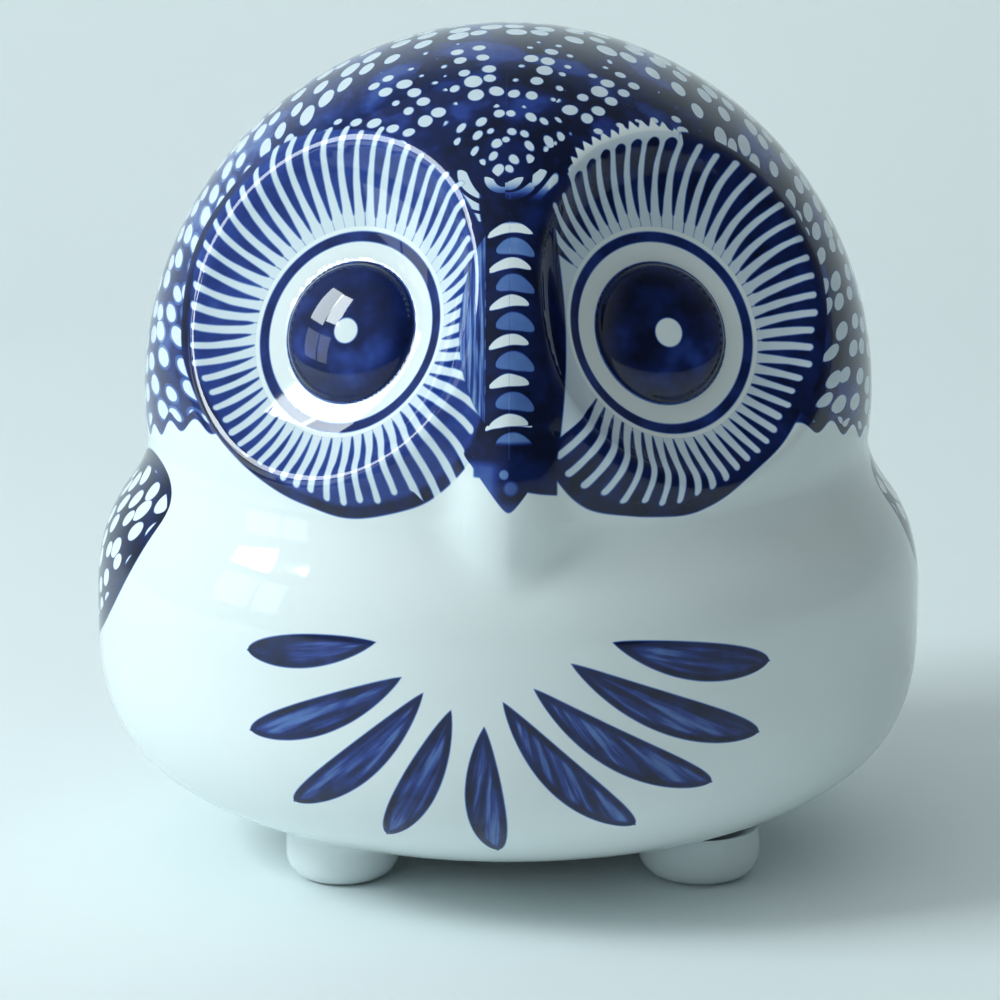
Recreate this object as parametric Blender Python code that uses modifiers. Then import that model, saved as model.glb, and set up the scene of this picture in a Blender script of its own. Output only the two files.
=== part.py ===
"""Hollow ceramic owl coin bank with a pull-out base stopper. Metres, +Z up, the owl faces -Y."""
import math

import bmesh
import bpy
import numpy as np
from mathutils import Matrix, Vector

# Outer form: a round head sunk into a low, wide body, with a soft neck where they meet
HEAD_Z = 0.0684
HEAD_RADIUS = 0.0532
BODY_Z = 0.0360
BODY_HALF_WIDTH = 0.0608
BODY_HALF_DEPTH = 0.0570
BODY_HALF_HEIGHT = 0.0320
BODY_SQUARENESS = 2.9
NECK_BLEND = 0.0050
FORM_CENTRE_Z = 0.0520
WALL = 0.0045
GAP = 0.0003

# Facial discs: shallow bowls sunk into the head, facing a little to each side and upward
DISC_CENTRE = (0.0255, -0.0318, 0.0850)
DISC_YAW = math.radians(25.0)
DISC_TILT = math.radians(20.5)
DISC_RADIUS = 0.0207
DISC_BOWL = 0.0024
DISC_RIM_BLEND = 0.0014

# Pupils: separately moulded domes luted into shallow sockets
EYE_SHIFT_IN = 0.0057
EYE_SHIFT_DOWN = 0.0032
EYE_RADIUS = 0.0096
EYE_HEIGHT = 0.0036
EYE_EDGE = 0.0007
EYE_SEAT_DEPTH = 0.0012
EYE_RINGS = 7

# Beak: a ridge running down the middle of the face to a tip above the chest
BEAK_TOP_ANGLE = math.radians(33.0)
BEAK_TIP_ANGLE = math.radians(-20.0)
BEAK_HALF_WIDTH = 0.0059
BEAK_HEIGHT = 0.0052
BEAK_ROOT = 0.0040
BEAK_WIDEST = 0.45
BEAK_TOP_SHARE = 0.65
BEAK_TIP_SHARE = 0.50

# Feet: four short stubs, the front pair set slightly to one side as on the hand-luted original
FEET = {
    "front_left": (0.0280, -0.0186, 0.0088),
    "front_right": (-0.0238, -0.0198, 0.0082),
    "rear_left": (0.0262, 0.0210, 0.0085),
    "rear_right": (-0.0262, 0.0210, 0.0085),
}
FOOT_TOP = 0.0160
FOOT_ROUND = 0.0036

# Coin slot across the back of the crown, cut straight down
SLOT_LENGTH = 0.0380
SLOT_WIDTH = 0.0050
SLOT_Y = 0.0260
SLOT_FLOOR = 0.0900
SLOT_TOP = 0.1250

# Base hole and stopper
HOLE_RADIUS = 0.0175
SEAT_RADIUS = 0.0222
SEAT_Z = 0.0056
PLUG_RADIUS = 0.0166
RIB_RADIUS = 0.0172
PLUG_TOP = 0.0130
PLUG_WALL = 0.0020
FLANGE_RADIUS = 0.0212
FLANGE_BOTTOM = 0.0037
TAB_LENGTH = 0.0180
TAB_WIDTH = 0.0045
TAB_BOTTOM = 0.0014

OUTER_SEGMENTS = 72
OUTER_RINGS = 46
INNER_SEGMENTS = 40
INNER_RINGS = 26
FRONT_DENSITY = 0.32
ROUND_SEGMENTS = 40
MERGE = 0.00002
BISECTIONS = 34

SIDES = {"left": 1.0, "right": -1.0}


def clear_scene():
    for item in list(bpy.data.objects):
        bpy.data.objects.remove(item, do_unlink=True)
    for material in list(bpy.data.materials):
        bpy.data.materials.remove(material)


def new_collection(name):
    collection = bpy.data.collections.new(name)
    bpy.context.scene.collection.children.link(collection)
    return collection


def new_material(name, colour, roughness, metallic=0.0):
    material = bpy.data.materials.new(name)
    material.use_nodes = True
    shader = material.node_tree.nodes["Principled BSDF"]
    shader.inputs["Base Color"].default_value = (*colour, 1.0)
    shader.inputs["Roughness"].default_value = roughness
    shader.inputs["Metallic"].default_value = metallic
    material.diffuse_color = (*colour, 1.0)
    return material


def disc_axes(side):
    """A facial disc's outward axis, with the sideways and upward directions in its plane."""
    level = math.cos(DISC_TILT)
    normal = Vector((side * math.sin(DISC_YAW) * level, -math.cos(DISC_YAW) * level, math.sin(DISC_TILT)))
    outward = Vector((0.0, 0.0, 1.0)).cross(normal).normalized() * side
    upward = (normal.cross(outward) * side).normalized()
    return normal, outward, upward


def disc_centre(side):
    return Vector((side * DISC_CENTRE[0], DISC_CENTRE[1], DISC_CENTRE[2]))


def smooth_max(first, second, blend):
    """The larger of two fields, with a rounded edge where they cross."""
    share = np.clip(1.0 - np.abs(first - second) / blend, 0.0, 1.0)
    return np.maximum(first, second) + 0.25 * blend * share * share


def bowl_gap(points, side):
    """Height below a facial disc's bowl, negative in the space in front of it."""
    normal = np.array(disc_axes(side)[0])
    away = points - np.array(disc_centre(side))
    height = away @ normal
    across = np.linalg.norm(away - height[:, None] * normal, axis=1)
    steepness = 1.0 + 4.0 * DISC_BOWL * across ** 3 / DISC_RADIUS ** 4
    return (DISC_BOWL * (across / DISC_RADIUS) ** 4 - height) / steepness


def form_gap(points):
    """Distance outside the bank's outer form, negative inside it."""
    head = np.linalg.norm(points - np.array((0.0, 0.0, HEAD_Z)), axis=1) - HEAD_RADIUS
    for side in SIDES.values():
        head = smooth_max(head, -bowl_gap(points, side), DISC_RIM_BLEND)
    level = np.hypot(points[:, 0] / BODY_HALF_WIDTH, points[:, 1] / BODY_HALF_DEPTH)
    rise = np.abs(points[:, 2] - BODY_Z) / BODY_HALF_HEIGHT
    bulge = (level ** BODY_SQUARENESS + rise ** BODY_SQUARENESS) ** (1.0 / BODY_SQUARENESS)
    reach = np.linalg.norm(points - np.array((0.0, 0.0, BODY_Z)), axis=1)
    body = (1.0 - 1.0 / np.maximum(bulge, MERGE)) * reach
    return -smooth_max(-body, -head, NECK_BLEND)


def form_points(directions, inset):
    """Points on the outer form, drawn inward by inset, along rays from the form's centre."""
    centre = np.array((0.0, 0.0, FORM_CENTRE_Z))
    near = np.zeros(len(directions))
    far = np.full(len(directions), 2.0 * HEAD_RADIUS)
    for _ in range(BISECTIONS):
        middle = 0.5 * (near + far)
        inside = form_gap(centre + directions * middle[:, None]) + inset < 0.0
        near = np.where(inside, middle, near)
        far = np.where(inside, far, middle)
    return centre + directions * near[:, None]


def add_object(name, mesh_builder, collection, material=None):
    mesh = bpy.data.meshes.new(name)
    mesh_builder.to_mesh(mesh)
    mesh_builder.free()
    item = bpy.data.objects.new(name, mesh)
    collection.objects.link(item)
    if material is not None:
        mesh.materials.append(material)
    return item


def form_object(name, segments, rings, inset, collection, material=None):
    """A sphere's mesh drawn onto the outer form, with its columns closer together on the face."""
    builder = bmesh.new()
    bmesh.ops.create_uvsphere(builder, u_segments=segments, v_segments=rings, radius=1.0)
    directions = []
    for vertex in builder.verts:
        turn = math.atan2(vertex.co.x, -vertex.co.y)
        turn -= FRONT_DENSITY * math.sin(turn)
        level = math.hypot(vertex.co.x, vertex.co.y)
        directions.append((level * math.sin(turn), -level * math.cos(turn), vertex.co.z))
    directions = np.array(directions)
    directions = directions / np.linalg.norm(directions, axis=1)[:, None]
    for vertex, place in zip(builder.verts, form_points(directions, inset)):
        vertex.co = place
    bmesh.ops.recalc_face_normals(builder, faces=builder.faces)
    return add_object(name, builder, collection, material)


def cylinder_object(name, radius, low, high, collection):
    builder = bmesh.new()
    bmesh.ops.create_cone(
        builder,
        cap_ends=True,
        segments=ROUND_SEGMENTS,
        radius1=radius,
        radius2=radius,
        depth=high - low,
        matrix=Matrix.Translation((0.0, 0.0, 0.5 * (low + high))),
    )
    return add_object(name, builder, collection)


def rounded_box_object(name, size, centre, round_radius, collection):
    """A box whose upright edges are rounded."""
    builder = bmesh.new()
    placing = Matrix.Translation(centre) @ Matrix.Diagonal((*size, 1.0))
    bmesh.ops.create_cube(builder, size=1.0, matrix=placing)
    upright = [edge for edge in builder.edges if abs(edge.verts[0].co.z - edge.verts[1].co.z) > 0.5 * size[2]]
    bmesh.ops.bevel(builder, geom=upright, offset=round_radius, segments=5, profile=0.5, affect="EDGES")
    return add_object(name, builder, collection)


def screw_object(name, profile, collection, material=None):
    """A turned solid: the profile at +X runs down its outer side, from the axis back to the axis."""
    mesh = bpy.data.meshes.new(name)
    points = [(radius, 0.0, height) for radius, height in profile]
    edges = [(index, index + 1) for index in range(len(points) - 1)]
    mesh.from_pydata(points, edges, [])
    item = bpy.data.objects.new(name, mesh)
    collection.objects.link(item)
    screw = item.modifiers.new("turn", "SCREW")
    screw.axis = "Z"
    screw.steps = ROUND_SEGMENTS
    screw.render_steps = ROUND_SEGMENTS
    screw.use_merge_vertices = True
    screw.merge_threshold = MERGE
    apply_modifiers(item)
    if material is not None:
        item.data.materials.append(material)
    return item


def apply_modifiers(item):
    bpy.context.view_layer.update()
    evaluated = item.evaluated_get(bpy.context.evaluated_depsgraph_get())
    mesh = bpy.data.meshes.new_from_object(evaluated)
    item.modifiers.clear()
    item.data = mesh
    builder = bmesh.new()
    builder.from_mesh(mesh)
    bmesh.ops.remove_doubles(builder, verts=builder.verts, dist=MERGE)
    bmesh.ops.dissolve_degenerate(builder, edges=builder.edges, dist=MERGE)
    builder.to_mesh(mesh)
    builder.free()


def combine(item, tool, operation="DIFFERENCE"):
    """Cuts the tool from the item, or joins it on."""
    step = item.modifiers.new("cut", "BOOLEAN")
    step.operation = operation
    step.solver = "EXACT"
    step.object = tool
    apply_modifiers(item)


def hide_cutters(cutters):
    for item in cutters.objects:
        item.hide_render = True
        item.display_type = "WIRE"


def eye_placing(side):
    """Matrix that puts local +Z on a pupil's axis, with the origin on the bowl's floor."""
    normal, outward, upward = disc_axes(side)
    foot = disc_centre(side) - EYE_SHIFT_IN * outward - EYE_SHIFT_DOWN * upward
    axes = Matrix((upward.cross(normal), upward, normal)).transposed().to_4x4()
    return Matrix.Translation(foot) @ axes


def make_body_shell(parts, cutters):
    material = new_material("white_glaze", (0.80, 0.86, 0.87), 0.08)
    shell = form_object("body_shell", OUTER_SEGMENTS, OUTER_RINGS, 0.0, parts, material)
    combine(shell, form_object("cavity_cutter", INNER_SEGMENTS, INNER_RINGS, WALL, cutters))
    combine(shell, cylinder_object("seat_cutter", SEAT_RADIUS, -SEAT_Z, SEAT_Z, cutters))
    combine(shell, cylinder_object("hole_cutter", HOLE_RADIUS, -SEAT_Z, FORM_CENTRE_Z, cutters))
    slot_size = (SLOT_LENGTH, SLOT_WIDTH, SLOT_TOP - SLOT_FLOOR)
    slot_centre = (0.0, SLOT_Y, 0.5 * (SLOT_TOP + SLOT_FLOOR))
    slot_round = 0.45 * SLOT_WIDTH
    combine(shell, rounded_box_object("slot_cutter", slot_size, slot_centre, slot_round, cutters))
    for side_name, side in SIDES.items():
        socket_name = "socket_cutter_" + side_name
        socket = cylinder_object(socket_name, EYE_RADIUS + GAP, -EYE_SEAT_DEPTH, EYE_RADIUS, cutters)
        socket.data.transform(eye_placing(side))
        combine(shell, socket)
    return shell


def make_eye_dome(side_name, parts):
    """A low dome with a short upright edge and a flat back."""
    bottom = GAP - EYE_SEAT_DEPTH
    profile = []
    for ring in range(EYE_RINGS):
        angle = 0.5 * math.pi * ring / (EYE_RINGS - 1)
        rise = (EYE_HEIGHT + EYE_EDGE) * math.cos(angle)
        profile.append((EYE_RADIUS * math.sin(angle), rise - EYE_EDGE))
    profile[0] = (0.0, EYE_HEIGHT)
    profile.append((EYE_RADIUS, bottom))
    profile.append((0.0, bottom))
    material = new_material("cobalt_glaze_eye_" + side_name, (0.012, 0.022, 0.085), 0.06)
    dome = screw_object("eye_dome_" + side_name, profile, parts, material)
    dome.matrix_world = eye_placing(SIDES[side_name])
    return dome


def make_beak(parts, cutters):
    """A round bar bent down the face, full at the lower end, and cut to fit the face behind it."""
    builder = bmesh.new()
    bmesh.ops.create_uvsphere(builder, u_segments=20, v_segments=24, radius=1.0)
    head = Vector((0.0, 0.0, HEAD_Z))
    for vertex in builder.verts:
        along = -vertex.co.z
        angle = BEAK_TOP_ANGLE + (BEAK_TIP_ANGLE - BEAK_TOP_ANGLE) * 0.5 * (1.0 + along)
        fullness = np.interp(along, (-1.0, BEAK_WIDEST, 1.0), (BEAK_TOP_SHARE, 1.0, BEAK_TIP_SHARE))
        height = BEAK_HEIGHT * (0.55 + 0.45 * along)
        lift = vertex.co.y * (height if vertex.co.y > 0.0 else BEAK_ROOT)
        radial = Vector((0.0, -math.cos(angle), math.sin(angle)))
        across = vertex.co.x * BEAK_HALF_WIDTH * fullness
        vertex.co = head + radial * (HEAD_RADIUS + lift) + Vector((across, 0.0, 0.0))
    bmesh.ops.recalc_face_normals(builder, faces=builder.faces)
    material = new_material("cobalt_glaze_beak", (0.020, 0.045, 0.170), 0.08)
    beak = add_object("beak", builder, parts, material)
    combine(beak, cutters.objects["clearance_cutter"])
    return beak


def make_foot(place_name, parts, cutters):
    """A stub with a rounded lower edge and a flat underside, cut to fit the body above it."""
    x, y, radius = FEET[place_name]
    profile = [(0.0, FOOT_TOP), (radius, FOOT_TOP)]
    for step in range(5):
        angle = 0.5 * math.pi * step / 4
        inset = FOOT_ROUND * (1.0 - math.cos(angle))
        profile.append((radius - inset, FOOT_ROUND * (1.0 - math.sin(angle))))
    profile.append((0.0, 0.0))
    material = new_material("white_glaze_foot_" + place_name, (0.78, 0.84, 0.85), 0.12)
    foot = screw_object("foot_" + place_name, profile, parts, material)
    foot.data.transform(Matrix.Translation((x, y, 0.0)))
    combine(foot, cutters.objects["clearance_cutter"])
    return foot


def make_stopper(parts, cutters):
    """A soft cup with a flange below, two sealing ribs and a tab to pull it out by."""
    flange_top = SEAT_Z - GAP
    inner = PLUG_RADIUS - PLUG_WALL
    profile = [
        (0.0, flange_top),
        (inner, flange_top),
        (inner, PLUG_TOP),
        (PLUG_RADIUS - 0.0006, PLUG_TOP),
        (RIB_RADIUS, PLUG_TOP - 0.0014),
        (PLUG_RADIUS, PLUG_TOP - 0.0026),
        (PLUG_RADIUS, flange_top + 0.0024),
        (RIB_RADIUS, flange_top + 0.0012),
        (PLUG_RADIUS, flange_top),
        (FLANGE_RADIUS - 0.0004, flange_top),
        (FLANGE_RADIUS, flange_top - 0.0004),
        (FLANGE_RADIUS, FLANGE_BOTTOM + 0.0005),
        (FLANGE_RADIUS - 0.0007, FLANGE_BOTTOM),
        (0.0, FLANGE_BOTTOM),
    ]
    material = new_material("stopper_rubber", (0.62, 0.64, 0.63), 0.55)
    stopper = screw_object("stopper", profile, parts, material)
    tab_height = FLANGE_BOTTOM + 0.0005 - TAB_BOTTOM
    tab_centre = (0.0, 0.0, TAB_BOTTOM + 0.5 * tab_height)
    tab = rounded_box_object("tab_form", (TAB_LENGTH, TAB_WIDTH, tab_height), tab_centre, 0.0016, cutters)
    combine(stopper, tab, "UNION")
    return stopper


def main():
    clear_scene()
    parts = new_collection("owl_coin_bank")
    cutters = new_collection("cutters")
    form_object("clearance_cutter", OUTER_SEGMENTS, OUTER_RINGS, -GAP, cutters)
    make_body_shell(parts, cutters)
    for side_name in SIDES:
        make_eye_dome(side_name, parts)
    make_beak(parts, cutters)
    for place_name in FEET:
        make_foot(place_name, parts, cutters)
    make_stopper(parts, cutters)
    hide_cutters(cutters)


main()
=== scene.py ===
"""Looks for the owl coin bank: glazed porcelain with brushed cobalt decoration, and its soft stopper.

Sizes are in millimetres in the frame's own axes (+Z up, the owl faces -Y); MM turns them into metres.
"""
import math

import bmesh
import bpy
import numpy as np
from mathutils import Matrix, Vector


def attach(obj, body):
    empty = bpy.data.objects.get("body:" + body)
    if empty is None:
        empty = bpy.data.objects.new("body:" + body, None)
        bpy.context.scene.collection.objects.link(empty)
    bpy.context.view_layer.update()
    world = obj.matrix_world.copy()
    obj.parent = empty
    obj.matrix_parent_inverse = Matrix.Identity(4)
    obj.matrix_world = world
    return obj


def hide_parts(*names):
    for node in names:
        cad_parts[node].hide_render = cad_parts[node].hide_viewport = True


MM = 0.001

# The outer form, as the CAD shell has it
HEAD_Z = 68.4
HEAD_RADIUS = 53.2
BODY_Z = 36.0
BODY_HALF_WIDTH = 60.8
BODY_HALF_DEPTH = 57.0
BODY_HALF_HEIGHT = 32.0
BODY_SQUARENESS = 2.9
NECK_BLEND = 5.0
FORM_CENTRE = (0.0, 0.0, 52.0)
WALL = 4.5

# Facial discs: shallow bowls, given for the owl's left
DISC_CENTRE = (25.5, -31.8, 85.0)
DISC_YAW = math.radians(25.0)
DISC_TILT = math.radians(20.5)
DISC_RADIUS = 20.7
DISC_BOWL = 2.4
DISC_RIM_BLEND = 1.4

# Pupils
EYE_SHIFT_IN = 5.7
EYE_SHIFT_DOWN = 3.2
EYE_RADIUS = 9.6
EYE_HEIGHT = 3.6
EYE_FILLET = 0.5

# Beak: a wedge whose ridge grows from the brow to the tip
BEAK_TOP_ANGLE = math.radians(33.0)
BEAK_TIP_ANGLE = math.radians(-20.0)
BEAK_HALF_WIDTH = 7.4
BEAK_HEIGHT = 5.0
BEAK_WEDGE = 1.7
BEAK_FILLET = 2.4
BEAK_SHIFT = 0.6

# Feet
FEET = {
    "front_left": (28.0, -18.6, 8.8),
    "front_right": (-23.8, -19.8, 8.2),
    "rear_left": (26.2, 21.0, 8.5),
    "rear_right": (-26.2, 21.0, 8.5),
}
FOOT_ROUND = 3.6
FOOT_FILLET = 2.0

# Base recess, hole and coin slot
SEAT_RADIUS = 22.2
SEAT_Z = 5.6
HOLE_RADIUS = 17.5
EDGE_ROUND = 0.6
SLOT_LENGTH = 38.0
SLOT_WIDTH = 5.0
SLOT_Y = 26.0
SLOT_FLOOR = 92.0
SLOT_MOUTH = 1.1

# The stopper's pull tab
TAB_PLACE = (0.0, 0.0, 2.7)
TAB_SIZE = (18.0, 4.5, 2.6)
TAB_FOOT_Z = 1.5

# Mesh fineness
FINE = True
COLUMNS = 320 if FINE else 200
OUTER_ROWS = 226 if FINE else 140
INNER_ROWS = 42 if FINE else 24
FRONT_DENSITY = 0.52
SKIN = 0.04
SKIN_SINK = 0.30
SKIN_FLAT = 0.86
DOME_REACH = 9.0
BEAK_REACH = 35.0
DIP = 0.5
BISECTIONS = 30
RAY_REACH = 90.0
SIDES = {"left": 1.0, "right": -1.0}

# Where the painted zones of the shell part, always on bare white glaze
HOOD_LOW = 63.2
FACE_FRONT = -30.0
FACE_LOW = 52.0
INSIDE_DEPTH = 1.3

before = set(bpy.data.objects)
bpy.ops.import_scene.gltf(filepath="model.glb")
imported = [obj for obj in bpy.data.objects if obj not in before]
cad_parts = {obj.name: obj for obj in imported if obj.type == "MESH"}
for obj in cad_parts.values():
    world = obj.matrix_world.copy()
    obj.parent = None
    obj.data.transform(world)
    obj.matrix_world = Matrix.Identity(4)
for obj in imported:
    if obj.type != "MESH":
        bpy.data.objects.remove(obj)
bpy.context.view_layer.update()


# ---------------------------------------------------------------- form

def disc_axes(side):
    """A facial disc's outward axis, with the sideways and upward directions in its plane."""
    level = math.cos(DISC_TILT)
    sideways = side * math.sin(DISC_YAW) * level
    normal = Vector((sideways, -math.cos(DISC_YAW) * level, math.sin(DISC_TILT)))
    outward = Vector((0.0, 0.0, 1.0)).cross(normal).normalized() * side
    upward = (normal.cross(outward) * side).normalized()
    return normal, outward, upward


def disc_centre(side):
    return Vector((side * DISC_CENTRE[0], DISC_CENTRE[1], DISC_CENTRE[2]))


def eye_foot(side):
    """The middle of a pupil, on the floor of its bowl."""
    _, outward, upward = disc_axes(side)
    return disc_centre(side) - EYE_SHIFT_IN * outward - EYE_SHIFT_DOWN * upward


def smooth_max(first, second, blend):
    share = np.clip(1.0 - np.abs(first - second) / blend, 0.0, 1.0)
    return np.maximum(first, second) + 0.25 * blend * share * share


def smooth_min(first, second, blend):
    return -smooth_max(-first, -second, blend)


def bowl_gap(points, side):
    normal = np.array(disc_axes(side)[0])
    away = points - np.array(disc_centre(side))
    height = away @ normal
    across = np.linalg.norm(away - height[:, None] * normal, axis=1)
    steepness = 1.0 + 4.0 * DISC_BOWL * across ** 3 / DISC_RADIUS ** 4
    return (DISC_BOWL * (across / DISC_RADIUS) ** 4 - height) / steepness


def body_gap(points):
    level = np.hypot(points[:, 0] / BODY_HALF_WIDTH, points[:, 1] / BODY_HALF_DEPTH)
    rise = np.abs(points[:, 2] - BODY_Z) / BODY_HALF_HEIGHT
    bulge = (level ** BODY_SQUARENESS + rise ** BODY_SQUARENESS) ** (1.0 / BODY_SQUARENESS)
    reach = np.linalg.norm(points - np.array((0.0, 0.0, BODY_Z)), axis=1)
    return (1.0 - 1.0 / np.maximum(bulge, 0.01)) * reach


def form_gap(points):
    """Distance outside the bare form, without beak, pupils or feet; negative inside it."""
    head = np.linalg.norm(points - np.array((0.0, 0.0, HEAD_Z)), axis=1) - HEAD_RADIUS
    for side in SIDES.values():
        head = smooth_max(head, -bowl_gap(points, side), DISC_RIM_BLEND)
    return smooth_min(body_gap(points), head, NECK_BLEND)


def eye_gap(points, side):
    """Distance outside a pupil's dome."""
    normal = np.array(disc_axes(side)[0])
    away = points - np.array(eye_foot(side))
    height = away @ normal
    across = np.linalg.norm(away - height[:, None] * normal, axis=1)
    reach = np.sqrt((across / EYE_RADIUS) ** 2 + (height / EYE_HEIGHT) ** 2)
    slope = np.sqrt((across / EYE_RADIUS ** 2) ** 2 + (height / EYE_HEIGHT ** 2) ** 2)
    return (reach - 1.0) * reach / np.maximum(slope, 0.02)


def beak_gap(points):
    """Distance outside the beak's wedge, measured on the head's meridian."""
    height = points[:, 2] - HEAD_Z
    forward = -points[:, 1]
    angle = np.arctan2(height, forward)
    lift = np.hypot(height, forward) - HEAD_RADIUS
    middle = 0.5 * (BEAK_TOP_ANGLE + BEAK_TIP_ANGLE)
    along = (middle - angle) / (0.5 * (BEAK_TOP_ANGLE - BEAK_TIP_ANGLE))
    width = BEAK_HALF_WIDTH * np.interp(along, (-1.0, 0.1, 0.60, 1.0), (0.35, 0.60, 1.0, 0.85))
    tall = BEAK_HEIGHT * np.interp(along, (-1.0, 0.0, 0.75, 1.0), (0.10, 0.40, 1.0, 1.0))
    across = np.abs(points[:, 0] - BEAK_SHIFT) / width
    rise = np.maximum(lift, 0.0) / tall
    section = (across ** BEAK_WEDGE + rise ** BEAK_WEDGE) ** (1.0 / BEAK_WEDGE)
    reach = np.sqrt(section ** 2 + np.abs(along) ** 3)
    return (reach - 1.0) * tall * 0.8


def foot_gap(points, place):
    """Distance outside a foot: an upright stub with a rounded lower edge."""
    x, y, radius = FEET[place]
    across = np.hypot(points[:, 0] - x, points[:, 1] - y) - (radius - FOOT_ROUND)
    down = FOOT_ROUND - points[:, 2]
    corner = np.hypot(np.maximum(across, 0.0), np.maximum(down, 0.0)) - FOOT_ROUND
    return corner + np.minimum(np.maximum(across, down), 0.0)


def glazed_gap(points):
    """The form with pupils and beak under one coat of glaze."""
    gap = form_gap(points)
    for side in SIDES.values():
        gap = smooth_min(gap, eye_gap(points, side), EYE_FILLET)
    return smooth_min(gap, beak_gap(points), BEAK_FILLET)


def solve(origins, directions, far, field):
    """Where each ray from its origin leaves the field's inside."""
    near = np.zeros(len(directions))
    far = np.full(len(directions), float(far))
    for _ in range(BISECTIONS):
        middle = 0.5 * (near + far)
        inside = field(origins + directions * middle[:, None]) < 0.0
        near = np.where(inside, middle, near)
        far = np.where(inside, far, middle)
    return origins + directions * near[:, None]


def gradient(points, field):
    step = 0.02
    parts = []
    for axis in range(3):
        shift = np.zeros(3)
        shift[axis] = step
        parts.append(field(points + shift) - field(points - shift))
    slope = np.stack(parts, axis=1)
    return slope / np.maximum(np.linalg.norm(slope, axis=1), 1e-9)[:, None]


def hidden_dip(points):
    """How far the shell's surface is kept back under the pupils and the beak."""
    keep = np.zeros(len(points))
    for side in SIDES.values():
        keep = np.maximum(keep, np.clip(-(eye_gap(points, side) + 0.5) / 1.0, 0.0, 1.0))
    keep = np.maximum(keep, np.clip(-(beak_gap(points) + 0.7) / 1.0, 0.0, 1.0))
    return DIP * keep


def shell_gap(points):
    return glazed_gap(points) + hidden_dip(points)


# ---------------------------------------------------------------- mesh helpers

def new_mesh_object(name, points, faces, smooth=True):
    mesh = bpy.data.meshes.new(name)
    mesh.from_pydata([tuple(point) for point in np.asarray(points) * MM], [], faces)
    mesh.validate()
    item = bpy.data.objects.new(name, mesh)
    bpy.context.scene.collection.objects.link(item)
    if smooth:
        mesh.shade_smooth()
    return item


def grid_faces(rows, columns, closed=True):
    """Quads between successive rings of points."""
    faces = []
    span = columns if closed else columns - 1
    for row in range(rows - 1):
        for column in range(span):
            after = (column + 1) % columns
            low = row * columns
            high = low + columns
            faces.append((low + column, high + column, high + after, low + after))
    return faces


def capped_grid(name, rings, columns):
    """A closed surface of stacked rings whose first and last ring are closed by a middle point."""
    points = np.concatenate(rings)
    count = len(rings)
    faces = grid_faces(count, columns)
    first = len(points)
    last = first + 1
    ends = np.array((rings[0].mean(axis=0), rings[-1].mean(axis=0)))
    points = np.concatenate((points, ends))
    low = (count - 1) * columns
    for column in range(columns):
        after = (column + 1) % columns
        faces.append((first, column, after))
        faces.append((last, low + after, low + column))
    return new_mesh_object(name, points, faces)


def face_outward(item):
    builder = bmesh.new()
    builder.from_mesh(item.data)
    bmesh.ops.recalc_face_normals(builder, faces=builder.faces)
    builder.to_mesh(item.data)
    builder.free()


def use_field_normals(item, field, tolerance=0.08):
    """Gives the points that lie on a field's surface its exact normals, so reflections run smoothly."""
    mesh = item.data
    mesh.shade_smooth()
    places = np.zeros(len(mesh.vertices) * 3)
    mesh.vertices.foreach_get("co", places)
    places = places.reshape(-1, 3) / MM
    normals = gradient(places, field)
    on_field = np.abs(field(places)) < tolerance
    loops = np.zeros(len(mesh.loops), dtype=np.int64)
    mesh.loops.foreach_get("vertex_index", loops)
    face_normals = np.zeros(len(mesh.polygons) * 3)
    mesh.polygons.foreach_get("normal", face_normals)
    face_normals = face_normals.reshape(-1, 3)
    totals = np.zeros(len(mesh.polygons), dtype=np.int64)
    mesh.polygons.foreach_get("loop_total", totals)
    loop_faces = np.repeat(np.arange(len(mesh.polygons)), totals)
    agrees = np.einsum("ij,ij->i", normals[loops], face_normals[loop_faces]) > 0.6
    use = on_field[loops] & agrees
    mesh.normals_split_custom_set(np.where(use[:, None], normals[loops], 0.0))


def assign_zones(item):
    """Material slots of the shell: 0 for the head, 1 for the breast and wings, 2 for the bare inside."""
    mesh = item.data
    centres = np.zeros(len(mesh.polygons) * 3)
    mesh.polygons.foreach_get("center", centres)
    centres = centres.reshape(-1, 3) / MM
    inside = form_gap(centres) < -INSIDE_DEPTH
    front = (centres[:, 1] < FACE_FRONT) & (centres[:, 2] > FACE_LOW)
    head = (centres[:, 2] > HOOD_LOW) | front
    mesh.polygons.foreach_set("material_index", np.where(inside, 2, np.where(head, 0, 1)))


# ---------------------------------------------------------------- pieces

def turns(columns):
    turn = 2.0 * math.pi * np.arange(columns) / columns
    return turn - FRONT_DENSITY * np.sin(turn)


def row_angles(count, last):
    """Angles from straight up, closer together across the face."""
    steps = np.linspace(0.0, last, 400)
    density = 1.0 + 1.3 * np.exp(-((steps - math.radians(66.0)) / math.radians(27.0)) ** 2)
    total = np.concatenate(([0.0], np.cumsum(0.5 * (density[1:] + density[:-1]))))
    return np.interp(np.linspace(0.0, total[-1], count), total, steps)


def ring_directions(angle, turn):
    return np.stack((math.sin(angle) * np.sin(turn), -math.sin(angle) * np.cos(turn),
                     np.full(len(turn), math.cos(angle))), axis=1)


def rounded_corner():
    """Steps round a quarter circle: how far it still has to go one way, and has gone the other."""
    steps = np.linspace(0.0, 0.5 * math.pi, 5)
    return [(EDGE_ROUND * (1.0 - math.sin(step)), EDGE_ROUND * (1.0 - math.cos(step))) for step in steps]


def wall_gap(points):
    """Distance outside the cavity."""
    return form_gap(points) + WALL


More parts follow.
